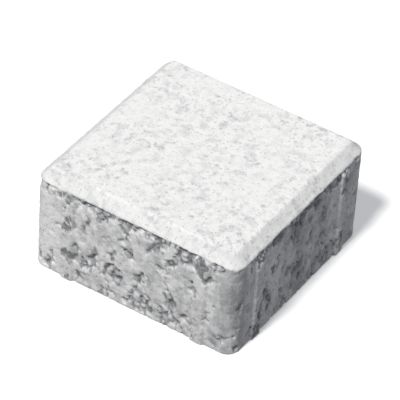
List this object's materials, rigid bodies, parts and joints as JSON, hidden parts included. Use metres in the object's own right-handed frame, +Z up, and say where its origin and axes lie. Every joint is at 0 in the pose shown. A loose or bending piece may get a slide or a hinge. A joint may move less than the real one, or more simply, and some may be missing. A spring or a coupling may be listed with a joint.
{
  "type": "concrete paving tile",
  "caption": "Small square pressed-concrete paver with a chamfered worn face, rounded upright corners and low spacer nibs on its sides that keep an even joint when laid.",
  "frame": {"origin": "centre of the flat underside", "axes": "+Z up, from the underside to the worn face; X and Y square to the sides, -Y the front and +X the right"},
  "size_m": [0.1, 0.1, 0.05],
  "materials": {
    "pressed_concrete": "vibro-pressed concrete, near-white fine face, open grey aggregate on the sides, matt"
  },
  "bodies": {
    "root": {"paving_tile": "pressed_concrete"}
  },
  "joints": []
}
